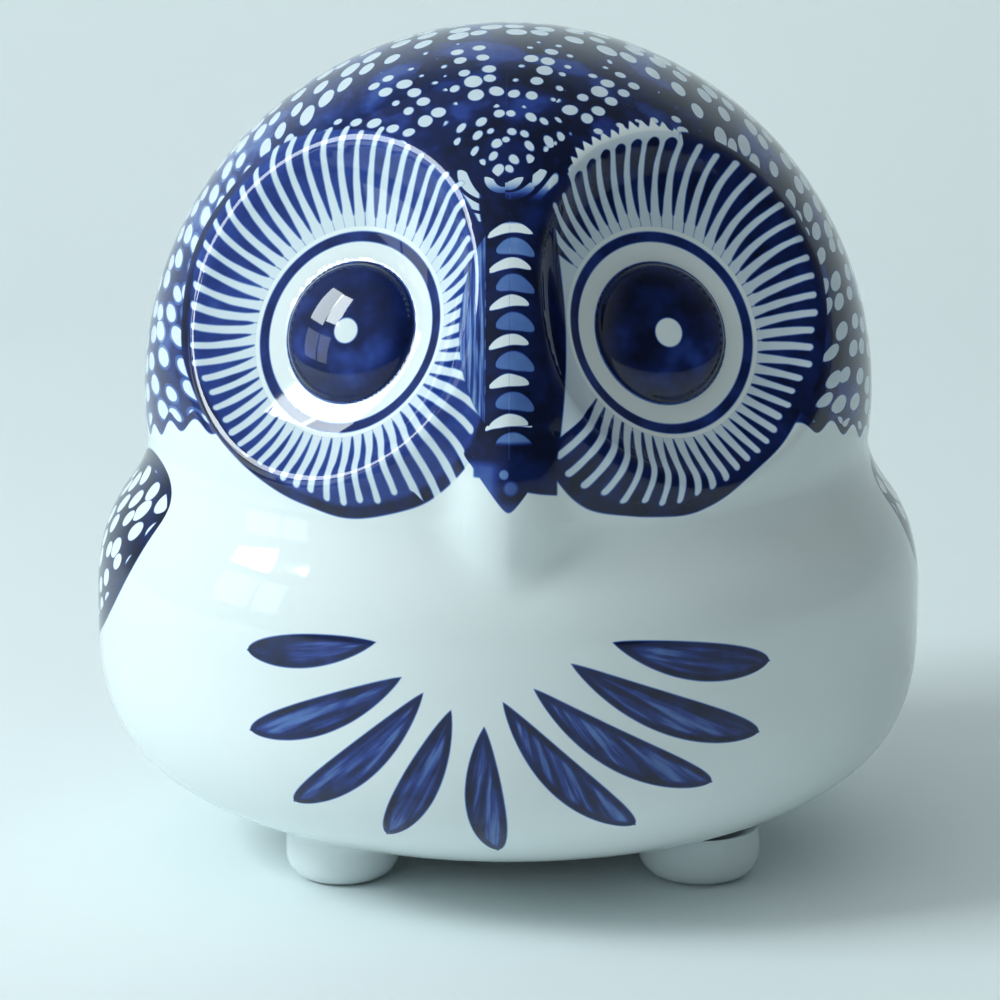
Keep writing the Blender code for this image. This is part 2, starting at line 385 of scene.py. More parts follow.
def make_shell():
    """Outer glaze, base recess, base hole and cavity as one closed surface."""
    turn = turns(COLUMNS)
    centre = np.array(FORM_CENTRE)
    origins = np.tile(centre, (COLUMNS, 1))
    bottom = BODY_Z - BODY_HALF_HEIGHT
    rim = SEAT_RADIUS + EDGE_ROUND
    last_angle = math.pi - math.atan2(rim, FORM_CENTRE[2] - bottom)
    rings = []
    for angle in row_angles(OUTER_ROWS, last_angle)[1:]:
        rings.append(solve(origins, ring_directions(angle, turn), RAY_REACH, shell_gap))
    low = rings[-1][:, 2].mean()
    floor = bottom + WALL
    corner = rounded_corner()
    profile = [(SEAT_RADIUS + to_go, low + gone) for to_go, gone in corner[1:]]
    profile += [(SEAT_RADIUS - gone, SEAT_Z - to_go) for to_go, gone in corner]
    profile += [(HOLE_RADIUS + to_go, SEAT_Z + gone) for to_go, gone in corner]
    profile += [(HOLE_RADIUS + gone, floor - to_go) for to_go, gone in corner]
    for radius, height in profile:
        level = np.full(COLUMNS, height)
        rings.append(np.stack((radius * np.sin(turn), -radius * np.cos(turn), level), axis=1))
    first_angle = math.pi - math.atan2(HOLE_RADIUS + 3.0, FORM_CENTRE[2] - floor)
    for angle in np.linspace(first_angle, math.radians(2.0), INNER_ROWS):
        rings.append(solve(origins, ring_directions(angle, turn), RAY_REACH, wall_gap))
    shell = capped_grid("porcelain_body", rings, COLUMNS)
    face_outward(shell)
    return shell


def slot_cutter():
    """Straight slot with round ends, whose mouth flares to meet the crown tangentially."""
    outline = []
    end = 0.5 * SLOT_LENGTH - 0.5 * SLOT_WIDTH
    for centre, start in ((end, -90.0), (-end, 90.0)):
        for step in range(9):
            angle = math.radians(start + 180.0 * step / 8)
            outline.append((centre, math.cos(angle), math.sin(angle)))
    outline = np.array(outline)

    def ring(spread, height=None, lift=0.0):
        radius = 0.5 * SLOT_WIDTH + spread
        x = outline[:, 0] + radius * outline[:, 1]
        y = SLOT_Y + radius * outline[:, 2]
        if height is None:
            origins = np.stack((x, y, np.full(len(x), FORM_CENTRE[2])), axis=1)
            upward = np.tile((0.0, 0.0, 1.0), (len(x), 1))
            height = solve(origins, upward, RAY_REACH, form_gap)[:, 2] + lift
        return np.stack((x, y, np.broadcast_to(height, x.shape)), axis=1)

    rings = [ring(0.0, SLOT_FLOOR)]
    for step in np.linspace(0.0, 0.5 * math.pi, 7):
        rings.append(ring(SLOT_MOUTH * (1.0 - math.cos(step)), lift=-SLOT_MOUTH * (1.0 - math.sin(step))))
    rings.append(ring(SLOT_MOUTH + 0.1, lift=5.0))
    cutter = capped_grid("slot_cutter", rings, len(outline))
    face_outward(cutter)
    return cutter


def cut(item, tool):
    step = item.modifiers.new("cut", "BOOLEAN")
    step.solver = "EXACT"
    step.object = tool
    bpy.context.view_layer.update()
    depsgraph = bpy.context.evaluated_depsgraph_get()
    mesh = bpy.data.meshes.new_from_object(item.evaluated_get(depsgraph))
    item.modifiers.clear()
    item.data = mesh
    bpy.data.objects.remove(tool, do_unlink=True)


def skin_edge(share):
    """Offset of a laid-on piece: a hair proud inside its outline, sinking under the shell at its edge."""
    return SKIN - SKIN_SINK * np.clip((share - SKIN_FLAT) / (1.0 - SKIN_FLAT), 0.0, 1.0) ** 2


def lifted(field, share):
    """A field's surface moved out by the skin at this share of the way to the piece's edge."""
    offset = float(skin_edge(share))
    return lambda points: field(points) - offset


def make_eye_dome(name, side):
    """A pupil's dome with the glaze's small fillet round it."""
    columns = 96 if FINE else 48
    normal, outward, upward = (np.array(axis) for axis in disc_axes(side))
    foot = np.array(eye_foot(side))
    turn = 2.0 * math.pi * np.arange(columns) / columns
    sideways = np.cos(turn)[:, None] * outward + np.sin(turn)[:, None] * upward
    reach = EYE_RADIUS + 1.3
    rings = []
    for share in np.sin(np.linspace(0.02, 0.5 * math.pi, 44)):
        origins = foot + sideways * (reach * share) - normal * 2.0
        along = np.tile(normal, (columns, 1))
        rings.append(solve(origins, along, DOME_REACH, lifted(glazed_gap, share)))
    for share in (1.0, 0.6, 0.1):
        rings.append(foot + sideways * (reach * share) - normal * 1.6)
    dome = capped_grid(name, rings, columns)
    face_outward(dome)
    use_field_normals(dome, glazed_gap, 0.4)
    return dome


def make_beak():
    """The beak's ridge, laid over the face and running out flush all round."""
    rows = 120 if FINE else 60
    columns = 64 if FINE else 32
    middle = 0.5 * (BEAK_TOP_ANGLE + BEAK_TIP_ANGLE)
    half = 0.5 * (BEAK_TOP_ANGLE - BEAK_TIP_ANGLE) + math.radians(1.5)
    rings = []
    for below in (False, True):
        shares = np.linspace(1.0, 0.02, 30) if below else np.linspace(0.02, 1.0, rows // 2)
        for share in shares:
            turn = 2.0 * math.pi * np.arange(columns) / columns
            along = np.sin(turn) * share
            angle = middle + half * along
            wide = np.interp(-along, (-1.0, 0.1, 0.60, 1.0), (0.55, 0.72, 1.0, 0.95))
            wide = wide * (BEAK_HALF_WIDTH + 1.6)
            across = BEAK_SHIFT + wide * np.cos(turn) * share
            radial = np.stack((np.zeros(columns), -np.cos(angle), np.sin(angle)), axis=1)
            origins = np.array((0.0, 0.0, HEAD_Z)) + radial * BEAK_REACH
            origins[:, 0] = across
            face = solve(origins, radial, BEAK_REACH, lifted(glazed_gap, share))
            rings.append(face - radial * 1.6 if below else face)
    beak = capped_grid("beak_ridge", rings, columns)
    face_outward(beak)
    use_field_normals(beak, glazed_gap, 0.4)
    return beak


def level_ring(x, y, radius, turn, height):
    """Points at each turn round a level circle."""
    level = np.full(len(turn), height)
    return np.stack((x + radius * np.cos(turn), y + radius * np.sin(turn), level), axis=1)


def make_foot(place):
    """A stub foot that flares into the underside."""
    x, y, radius = FEET[place]
    columns = 72 if FINE else 36
    turn = 2.0 * math.pi * np.arange(columns) / columns

    def joined(points):
        return smooth_min(form_gap(points), foot_gap(points, place), FOOT_FILLET)

    heart = np.array((x, y, 5.0))
    origins = np.tile(heart, (columns, 1))
    rings = []
    low_angle = math.radians(-87.0)
    top_angle = math.radians(16.0)
    for angle in np.linspace(low_angle, top_angle, 40):
        way = level_ring(0.0, 0.0, math.cos(angle), turn, math.sin(angle))
        share = (angle - low_angle) / (top_angle - low_angle)
        ring = solve(origins, way, radius + 5.0, lifted(joined, share))
        ring[:, 2] = np.maximum(ring[:, 2], 0.0)
        rings.append(ring)
    rings.append(level_ring(x, y, 0.7 * radius, turn, 6.6))
    foot = capped_grid("foot_stub_" + place, rings, columns)
    face_outward(foot)
    use_field_normals(foot, joined, 0.4)
    return foot


def make_stopper():
    """Soft cup with sealing ribs, a flange with rounded edges, and a moulded pull tab."""
    steps = 96 if FINE else 48
    profile = [(0.0, 5.3), (14.0, 5.3), (14.4, 5.5), (14.6, 5.9), (14.6, 12.6), (14.8, 13.0), (15.6, 13.0)]
    profile += [(16.0, 12.8), (16.6, 12.2), (17.1, 11.9), (17.2, 11.6), (17.0, 11.2), (16.6, 10.6)]
    profile += [(16.6, 7.8), (16.9, 7.1), (17.2, 6.6), (17.1, 6.2), (16.7, 5.7), (16.8, 5.35), (17.2, 5.3)]
    profile += [(20.7, 5.3), (21.1, 5.15), (21.2, 4.8), (21.2, 4.3), (21.0, 3.9), (20.5, 3.7)]
    profile += [(17.6, 3.7), (17.3, 3.9), (16.9, 3.9), (16.6, 3.7), (0.0, 3.7)]
    turn = 2.0 * math.pi * np.arange(steps) / steps
    rings = []
    for radius, height in profile:
        rings.append(level_ring(0.0, 0.0, max(radius, 0.05), turn, height))
    stopper = capped_grid("base_stopper", rings, steps)
    face_outward(stopper)
    builder = bmesh.new()
    placing = Matrix.Translation(Vector(TAB_PLACE) * MM) @ Matrix.Diagonal((*(Vector(TAB_SIZE) * MM), 1.0))
    bmesh.ops.create_cube(builder, size=1.0, matrix=placing)
    rises = [(edge, abs(edge.verts[0].co.z - edge.verts[1].co.z)) for edge in builder.edges]
    upright = [edge for edge, rise in rises if rise > 1.0 * MM]
    bmesh.ops.bevel(builder, geom=upright, offset=1.6 * MM, segments=6, profile=0.5, affect="EDGES")
    lower = [edge for edge in builder.edges if max(vert.co.z for vert in edge.verts) < TAB_FOOT_Z * MM]
    bmesh.ops.bevel(builder, geom=lower, offset=0.5 * MM, segments=4, profile=0.5, affect="EDGES")
    mesh = bpy.data.meshes.new("tab_tool")
    builder.to_mesh(mesh)
    builder.free()
    tab = bpy.data.objects.new("tab_tool", mesh)
    bpy.context.scene.collection.objects.link(tab)
    step = stopper.modifiers.new("join", "BOOLEAN")
    step.operation = "UNION"
    step.solver = "EXACT"
    step.object = tab
    bpy.context.view_layer.update()
    depsgraph = bpy.context.evaluated_depsgraph_get()
    joined = bpy.data.meshes.new_from_object(stopper.evaluated_get(depsgraph))
    stopper.modifiers.clear()
    stopper.data = joined
    bpy.data.objects.remove(tab, do_unlink=True)
    joined.shade_smooth()
    joined.set_sharp_from_angle(angle=math.radians(50.0))
    return stopper


# ---------------------------------------------------------------- node painting

class Field:
    """A number that varies over a surface, held as a shader node's output."""

    def __init__(self, tree, socket):
        self.tree = tree
        self.socket = socket

    def math(self, operation, *others):
        node = self.tree.nodes.new("ShaderNodeMath")
        node.operation = operation
        for place, value in enumerate((self, *others)):
            if isinstance(value, Field):
                self.tree.links.new(value.socket, node.inputs[place])
            else:
                node.inputs[place].default_value = value
        return Field(self.tree, node.outputs[0])

    def __add__(self, other):
        return self.math("ADD", other)

    def __radd__(self, other):
        return self.math("ADD", other)

    def __sub__(self, other):
        return self.math("SUBTRACT", other)

    def __rsub__(self, other):
        return self.math("MULTIPLY", -1.0).math("ADD", other)

    def __mul__(self, other):
        return self.math("MULTIPLY", other)

    def __rmul__(self, other):
        return self.math("MULTIPLY", other)

    def __truediv__(self, other):
        return self.math("DIVIDE", other)

    def __neg__(self):
        return self.math("MULTIPLY", -1.0)

    def power(self, other):
        return self.math("POWER", other)

    def size(self):
        return self.math("ABSOLUTE")

    def root(self):
        return self.math("SQRT")

    def fraction(self):
        return self.math("FRACT")

    def floor(self):
        return self.math("FLOOR")

    def sine(self):
        return self.math("SINE")

    def above(self, other):
        """The larger of two."""
        return self.math("MAXIMUM", other)

    def below(self, other):
        """The smaller of two."""
        return self.math("MINIMUM", other)

    def step(self, low, high):
        """Rises smoothly from 0 at low to 1 at high; falls if low is above high."""
        node = self.tree.nodes.new("ShaderNodeMapRange")
        node.interpolation_type = "SMOOTHSTEP"
        self.tree.links.new(self.socket, node.inputs["Value"])
        rising = high > low
        node.inputs["From Min"].default_value = low if rising else high
        node.inputs["From Max"].default_value = high if rising else low
        node.inputs["To Min"].default_value = 0.0 if rising else 1.0
        node.inputs["To Max"].default_value = 1.0 if rising else 0.0
        return Field(self.tree, node.outputs["Result"])

    def blend(self, first, second):
        """First where this is 0, second where it is 1."""
        gap = second - first if isinstance(second, Field) else (-first + second)
        return gap * self + first


def hypot(first, second):
    return (first * first + second * second).root()


def combine(tree, *fields):
    node = tree.nodes.new("ShaderNodeCombineXYZ")
    for place, value in enumerate(fields):
        if isinstance(value, Field):
            tree.links.new(value.socket, node.inputs[place])
        else:
            node.inputs[place].default_value = value
    return node.outputs[0]


def noise(tree, vector, scale, detail=1.0, roughness=0.5):
    node = tree.nodes.new("ShaderNodeTexNoise")
    node.inputs["Scale"].default_value = scale
    node.inputs["Detail"].default_value = detail
    node.inputs["Roughness"].default_value = roughness
    tree.links.new(vector, node.inputs["Vector"])
    return Field(tree, node.outputs[0])


def chance(number, salt):
    """A fixed random share for each whole number."""
    tree = number.tree
    node = tree.nodes.new("ShaderNodeTexWhiteNoise")
    node.noise_dimensions = "1D"
    tree.links.new((number + salt).socket, node.inputs["W"])
    return Field(tree, node.outputs["Value"])


def spots(tree, across, along, spacing, randomness, radius, unevenness):
    """How far inside the nearest of a scatter of uneven round spots; negative between them."""
    node = tree.nodes.new("ShaderNodeTexVoronoi")
    node.voronoi_dimensions = "2D"
    node.inputs["Scale"].default_value = 1.0 / spacing
    node.inputs["Randomness"].default_value = randomness
    tree.links.new(combine(tree, across, along, 0.0), node.inputs["Vector"])
    split = tree.nodes.new("ShaderNodeSeparateXYZ")
    tree.links.new(node.outputs["Color"], split.inputs[0])
    share = Field(tree, split.outputs[0]) - 0.5
    return share * unevenness + radius - Field(tree, node.outputs["Distance"]) * spacing


def surface_point(tree):
    """The surface point as three fields in millimetres, and as one vector in metres."""
    where = tree.nodes.new("ShaderNodeTexCoord")
    split = tree.nodes.new("ShaderNodeSeparateXYZ")
    tree.links.new(where.outputs["Object"], split.inputs[0])
    x, y, z = (Field(tree, split.outputs[axis]) * 1000.0 for axis in range(3))
    return x, y, z, where.outputs["Object"]


# Painted face, in millimetres in a disc's own plane about the pupil's middle
STROKES = 58.0
RING_INNER = 12.7
RING_OUTER = 14.1
OUTLINE = 26.1
TIP_RADIUS = 14.9
FRINGE_MIDDLE = 1.72
FRINGE_HALF = 0.41
POKE_MIDDLE = 1.65
GAP_MIDDLE = -2.35
EDGE = 0.19


def disc_frame(x, y, z):
    """A disc's plane coordinates about its pupil: outward, upward and height off the plane."""
    normal, outward, upward = disc_axes(1.0)
    centre = disc_centre(1.0)
    away = (x.size() - centre.x, y - centre.y, z - centre.z)
    across = away[0] * outward.x + away[1] * outward.y + away[2] * outward.z + EYE_SHIFT_IN
    up = away[0] * upward.x + away[1] * upward.y + away[2] * upward.z + EYE_SHIFT_DOWN
    height = away[0] * normal.x + away[1] * normal.y + away[2] * normal.z
    return across, up, height


def paint_rings(radius):
    """The pupil's rim and the narrow ring round the white of the eye."""
    pupil = (radius - (EYE_RADIUS + 0.35)).step(EDGE, -EDGE)
    off_middle = (radius - 0.5 * (RING_INNER + RING_OUTER)).size()
    band = (off_middle - 0.5 * (RING_OUTER - RING_INNER)).step(EDGE, -EDGE)
    return pupil.above(band * 0.86)


def paint_disc(x, y, z, wobble, sway_noise, left):
    """Brush strokes fanning from ring to outline. Returns the paint, its area and a white fringe."""
    across, up, height = disc_frame(x, y, z)
    radius = hypot(across, up).above(0.5)
    angle = up.math("ARCTAN2", across)
    rise = up / radius
    sway = left * 2.0 - 1.0
    lean = (across * -0.487 + up * 1.205) / radius
    stretch = across * up * 5.2 / (radius * radius)
    wider = (1.0 - left) * (across / radius).above(0.0) * 1.2
    outline = lean + stretch + wider + OUTLINE + (sway_noise - 0.5) * 1.2
    run = ((radius - TIP_RADIUS) / (OUTLINE - TIP_RADIUS)).above(0.0)
    bow = (run - 0.5) * (run - 0.5) * sway * 0.11
    turn = (angle + bow + (sway_noise - 0.5) * 0.03) * (STROKES / (2.0 * math.pi))
    finger = turn.floor()
    stroke = (turn + 0.5).floor()
    pitch = radius * (2.0 * math.pi / STROKES)
    sideways = (turn.fraction() - 0.5) * pitch
    start = chance(stroke, 3.0) * 0.9 + rise.above(0.0) * 1.3 - 0.3
    grown = ((radius - TIP_RADIUS - start) / (OUTLINE - 3.0 - TIP_RADIUS)).above(0.0).below(1.0)
    boldness = chance(stroke, 11.0) * 0.06 + 0.275 + rise.above(0.0) * 0.03
    hush = left * (math.pi - angle.size()).step(0.64, 0.50)
    poke = (1.0 - left) * (angle - POKE_MIDDLE).size().step(0.85, 0.60)
    gap = (1.0 - left) * (angle - GAP_MIDDLE).size().step(0.17, 0.13)
    fringe_arc = left * (angle - FRINGE_MIDDLE).size().step(FRINGE_HALF, FRINGE_HALF - 0.04)
    boldness = boldness * (1.0 - hush)
    half = pitch * (0.5 - boldness * grown.power(0.42)) + (wobble - 0.5) * 0.22 + hush * 0.5
    poking = poke * (chance(finger, 5.0) * 1.5 + 1.3)
    reach = chance(finger, 7.0) * -0.7 - 1.35 + poking + (gap + fringe_arc) * 4.0
    end = outline + reach
    short = (half - (end - radius)).above(0.0)
    white = (half - hypot(sideways, short)).step(-EDGE, EDGE)
    dark_end = hypot(pitch * 0.5 - sideways.size(), (radius - outline + 1.9).above(0.0)).step(0.85, 1.15)
    white = white.above(dark_end * fringe_arc * (radius - outline + 1.9).step(0.0, 0.2))
    outer = (outline - radius).step(-EDGE, EDGE)
    inner_zone = radius.step(TIP_RADIUS + 0.2, TIP_RADIUS - 0.2)
    # Painted light on the window-side disc (-X): its strokes are painted lighter, partly thinner paint and
    # partly a painted sheen of the window, and its upper outer band is painted lighter still as a painted
    # reflection of the window on the rim.
    upper_rim_sheen = (1.0 - left) * rise.step(0.2, 0.8) * (radius - outline).step(-4.0, 0.0)
    thin_paint_and_sheen = (1.0 - left) * (radius - outline + 2.2).step(1.2, 0.2).above(poke) * 0.20
    paint = (1.0 - (white * 0.90).above(inner_zone)) * (0.95 - thin_paint_and_sheen - upper_rim_sheen * 0.06)
    paint = paint.above(paint_rings(radius))
    tooth = (angle * 103.0).sine() * 0.5 + chance(finger, 17.0) * 0.7
    taper = (FRINGE_HALF - (angle - FRINGE_MIDDLE).size()).step(0.0, 0.16) * 1.6
    beyond = radius - outline
    fringe = (beyond - tooth - taper + 0.8).step(0.25, -0.25) * beyond.step(-0.6, -0.3) * fringe_arc
    front = height.step(-7.0, -5.0)
    area = outer.above(poke * white) * front
    return paint, area, fringe * front


# The brow, in millimetres along the head's meridian above its middle
CRESCENT_TOP = 29.4
CRESCENT_PITCH = 5.05
FLANK_RIGHT = 7.5
FLANK_LEFT = 3.1
BROW_TOP = 38.0
TIP_DEPTH = 7.2


def paint_strip(x, y, z, wobble):
    """Crescents down the brow, dark flanks and the beak's blue tip, with the window's reflection painted
    onto the window-side flank and tip. Returns the paint and its area.
    """
    across = x - BEAK_SHIFT
    arc = (z - HEAD_Z).math("ARCTAN2", -y) * HEAD_RADIUS
    order = ((arc - CRESCENT_TOP - 0.2) / CRESCENT_PITCH + 20.0).floor()
    uneven = chance(order, 23.0) - 0.5
    bend = across * across * 0.12 - across * 0.10 + (wobble - 0.5) * 0.5
    band = ((arc + bend - CRESCENT_TOP) / CRESCENT_PITCH + 20.0).fraction()
    share = across / (uneven * 0.7 + 2.85)
    side_step = (across - 0.8) / 2.55
    white = (1.0 - share * share).above(0.0).root()
    wash = (1.0 - side_step * side_step).above(0.0).root()
    white = (white * 0.16 - (band - 0.20).size()).step(-0.02, 0.03) * white.step(0.05, 0.30)
    wash = (wash * 0.24 - (band - 0.67).size()).step(-0.03, 0.04) * wash.step(0.05, 0.30)
    span = arc.step(1.8, 2.6) * arc.step(31.6, 30.8)
    paint = 0.97 - (white * 0.95 + wash * (uneven * 0.12 + 0.50)) * span
    dot = hypot(across + 0.6, arc + 1.6).step(0.75, 0.45)
    smear = hypot(across - 0.3, arc + 3.3).step(1.2, 0.6)
    paint = paint - dot * 0.50 - smear * 0.34
    # Painted light: the window-side (-X) half of the beak's blue tip is painted lighter where the window
    # lights it; the point of the tip is painted lighter too.
    paint = paint - across.step(-0.6, -2.6) * arc.step(0.5, -1.0) * 0.34 - arc.step(-4.4, -6.2) * 0.22
    bow = (arc - 17.0) / 14.0
    wall = (1.0 - bow * bow).above(0.0).root() * 6.6
    # Painted reflection: the window-side flank (-X) is dark paint, but it is painted mid-blue with
    # vertical light streaks that stand for the window reflected in it.
    reflection_streaks = noise(across.tree, combine(across.tree, across * 2.6, arc * 0.10, 0.0), 1.0, 2.0)
    flank_reflection_band = (wall + across).step(-EDGE, EDGE) * across.step(-3.0, -3.2)
    paint = flank_reflection_band.blend(paint, reflection_streaks.step(0.35, 0.65) * 0.40 + 0.40)
    rounded = (across * across + 0.5).root() * 1.3
    tip = (arc + TIP_DEPTH - rounded).step(-EDGE, EDGE) * arc.step(0.4, 0.2)
    low = arc.above(-0.2)
    drop = (low - 15.0) / 16.0
    right_edge = FLANK_RIGHT - drop * drop * 1.3 - across
    left_edge = across + FLANK_LEFT + arc.step(9.0, 0.0) * 1.5 + arc.step(27.0, 34.0) * 0.9
    foot = (arc + across * 0.26 + 3.2).step(-EDGE, EDGE)
    right = right_edge.step(-EDGE, EDGE) * across.step(0.0, 0.1) * foot
    left = left_edge.step(-EDGE, EDGE) * across.step(0.1, 0.0) * (arc + 2.2).step(-EDGE, EDGE)
    front = (-y).step(20.0, 22.0)
    area = tip.above(right).above(left).above(flank_reflection_band) * front * arc.step(BROW_TOP, BROW_TOP - 4.0)
    return paint, area


# The hood, whose rows of ovals fan back from a point on the forehead
FOREHEAD_TILT = math.radians(40.0)
SECTOR = math.radians(24.0)
ROW_WIDTH = 3.1
HOOD_EDGE = 65.4
SCALLOPS = 42.0


def paint_hood(x, y, z, wobble):
    """White ovals in rows that fan back from the forehead, and a net of them down the sides."""
    tree = x.tree
    rise = z - HEAD_Z
    forward = rise * math.sin(FOREHEAD_TILT) - y * math.cos(FOREHEAD_TILT)
    back = rise * math.cos(FOREHEAD_TILT) + y * math.sin(FOREHEAD_TILT)
    level = hypot(x, back).above(0.3)
    away = level.math("ARCTAN2", forward) * HEAD_RADIUS
    heading = x.math("ARCTAN2", back)
    sector = heading / SECTOR
    column = (sector.fraction() - 0.5) * level * SECTOR
    order = sector.floor() * 31.7
    rows = spots(tree, column + order, away * 0.92, 3.0, 0.30, 1.20, 0.45)
    dots = spots(tree, x + 9.0, away * 0.95 + 3.0, 2.25, 0.62, 0.70, 0.35)
    net = spots(tree, heading * level, away * 0.85, 4.3, 0.48, 1.52, 0.45)
    far = away.step(13.5, 15.5)
    side = heading.size().step(math.radians(58.0), math.radians(70.0))
    side = side.above(away.step(30.0, 36.0))
    column_share = column / ROW_WIDTH
    rows = rows - column_share * column_share * 0.55 - (1.0 - far) * 2.0 - side * 2.0
    cluster = heading.size().step(math.radians(52.0), math.radians(42.0)) * z.step(100.6, 101.4)
    dots = dots - (1.0 - cluster) * 2.0 - far * 2.0
    net = net - (1.0 - side) * 2.0
    white = rows.above(dots).above(net) + (wobble - 0.5) * 0.5
    white = white - (hood_height(x, y, z)).step(1.4, 0.6) * 2.0
    blot = noise(tree, combine(tree, x, y, z), 0.13, 3.0)
    # Painted light: on the window side (-X) the ground between the net's ovals is painted lighter, and the
    # whole hood is painted lighter toward that side, where the window lights it.
    fill = side * (-x).step(30.0, 40.0)
    ground = 0.99 - blot.step(0.48, 0.66) * 0.30 - fill * 0.26 * white.step(-0.60, -0.30)
    ground = ground - x.step(0.0, -30.0) * 0.12
    return ground * (1.0 - white.step(-0.10, 0.20) * 0.90)


def hood_height(x, y, z):
    """Height above the hood's scalloped lower edge, which climbs a little toward the discs."""
    heading = x.math("ARCTAN2", -y)
    scallop = (heading * SCALLOPS).sine() * 0.85 + 0.85
    climb = heading.size().step(math.radians(78.0), math.radians(50.0)) * 4.2
    return z - HOOD_EDGE + scallop - climb


def hood_area(x, y, z):
    heading = x.math("ARCTAN2", -y)
    open_face = heading.size().step(math.radians(30.0), math.radians(38.0)).above(z.step(84.0, 86.0))
    return hood_height(x, y, z).step(-0.2, 0.2) * open_face


# Petals on the chest: inner tip, outer tip, bow and half width
PETALS = (
    ((-17.0, 43.7), (-34.6, 40.6), 0.4, 2.0),
    ((-13.6, 39.2), (-34.4, 29.4), 1.0, 2.2),
    ((-10.7, 37.2), (-28.6, 19.4), 1.2, 2.3),
    ((-7.0, 35.0), (-15.9, 15.4), 0.6, 2.3),
    ((-2.6, 32.8), (-0.9, 13.0), -0.9, 2.3),
    ((-0.1, 36.2), (17.6, 17.2), -1.4, 2.4),
    ((4.0, 38.0), (27.9, 23.0), -1.6, 2.4),
    ((8.9, 41.3), (34.3, 29.4), -1.4, 2.4),
    ((14.4, 43.9), (35.6, 39.2), -0.9, 2.3),
)


def paint_petal(x, z, start, end, bow, half):
    """A brush-pressed petal: pointed within, widest past its middle, darker round its edge."""
    run = Vector((end[0] - start[0], end[1] - start[1]))
    length = run.length
    way = run / length
    along = ((x - start[0]) * way.x + (z - start[1]) * way.y) / length
    beyond = ((along - 0.5).size() - 0.5).above(0.0) * length
    along = along.above(0.001).below(0.999)
    across = (z - start[1]) * way.x - (x - start[0]) * way.y
    centre = along * (1.0 - along) * (4.0 * bow)
    shape = along.power(0.85) * (1.0 - along).power(0.58) * (1.12 * half / 0.378)
    return shape - hypot(across - centre, beyond)


WING_FRONT = {"left": -13.0, "right": -28.0}
WING_TOP = 54.5
WING_SLOPE = math.radians(26.23)
WING_LENGTH = 70.0
WING_HALF_WIDTH = 13.5


def paint_body(x, y, z, streak):
    """Chest petals and the wings on both sides."""
    tree = x.tree
    depth = None
    for start, end, bow, half in PETALS:
        inside = paint_petal(x, z, start, end, bow, half)
        depth = inside if depth is None else depth.above(inside)
    wash = depth.step(0.55, 1.30) * (streak.step(0.36, 0.70) * 0.40 + 0.04)
    petals = depth.step(-EDGE, EDGE) * (0.94 - wash) * (-y).step(25.0, 27.0)
    left = x.step(-0.2, 0.2)
    front = left.blend(WING_FRONT["right"], WING_FRONT["left"])
    side = y - front
    low = z - WING_TOP
    fall = math.sin(WING_SLOPE)
    run = math.cos(WING_SLOPE)
    along = (side * run - low * fall) / WING_LENGTH
    across = side * fall + low * run - 1.8
    nose = (along / 0.3 - 1.0).below(0.0)
    tail = ((along - 0.3) / 0.7).above(0.0)
    bluntness = (1.0 - nose * nose).above(0.0).root()
    half_width = bluntness * (1.0 - tail.power(1.7)).above(0.0) * WING_HALF_WIDTH
    inside = half_width - across.size() - 0.5
    ovals = spots(tree, along * WING_LENGTH * 0.76, across, 3.5, 0.38, 1.30, 0.40)
    white = ovals.step(-0.10, 0.14) * inside.step(2.2, 2.7)
    wing = inside.step(-EDGE, EDGE) * (0.96 - white * 0.96) * x.size().step(30.0, 32.0)
    return petals.above(wing)


# Base colours in linear light, from bare glaze to the thickest cobalt
GLAZE = (0.775, 0.845, 0.850)
COBALT_STOPS = (
    (0.00, GLAZE),
    (0.16, (0.500, 0.620, 0.740)),
    (0.45, (0.100, 0.200, 0.470)),
    (0.70, (0.020, 0.050, 0.260)),
    (0.88, (0.006, 0.016, 0.095)),
    (1.00, (0.003, 0.007, 0.030)),
)
GLAZE_IOR = 1.48
BISQUE_STOPS = ((0.0, (0.52, 0.51, 0.47)), (1.0, (0.76, 0.76, 0.72)))
STOPPER_STOPS = ((0.0, (0.44, 0.47, 0.48)), (1.0, (0.66, 0.69, 0.69)))
FLOOR_STOPS = ((0.0, (0.82, 0.89, 0.90)), (1.0, (0.85, 0.92, 0.93)))


def new_material(name, roughness, ior=1.5):
    material = bpy.data.materials.new(name)
    material.use_nodes = True
    shader = material.node_tree.nodes["Principled BSDF"]
    shader.inputs["Roughness"].default_value = roughness
    shader.inputs["IOR"].default_value = ior
    return material, material.node_tree, shader


def new_glaze(name):
    return new_material(name, 0.04, GLAZE_IOR)


def add_ramp(tree, share, stops):
    """Colour that runs through stops of (place, colour)."""
    ramp = tree.nodes.new("ShaderNodeValToRGB")
    ramp.color_ramp.interpolation = "LINEAR"
    elements = ramp.color_ramp.elements
    while len(elements) < len(stops):
        elements.new(0.5)
    for element, (place, colour) in zip(elements, stops):
        element.position = place
        element.color = (*colour, 1.0)
    tree.links.new(share.socket, ramp.inputs[0])
    return ramp.outputs["Color"]


def add_bump(tree, shader, height, strength, distance):
    node = tree.nodes.new("ShaderNodeBump")
    node.inputs["Strength"].default_value = strength
    node.inputs["Distance"].default_value = distance
    tree.links.new(height.socket, node.inputs["Height"])
    tree.links.new(node.outputs[0], shader.inputs["Normal"])


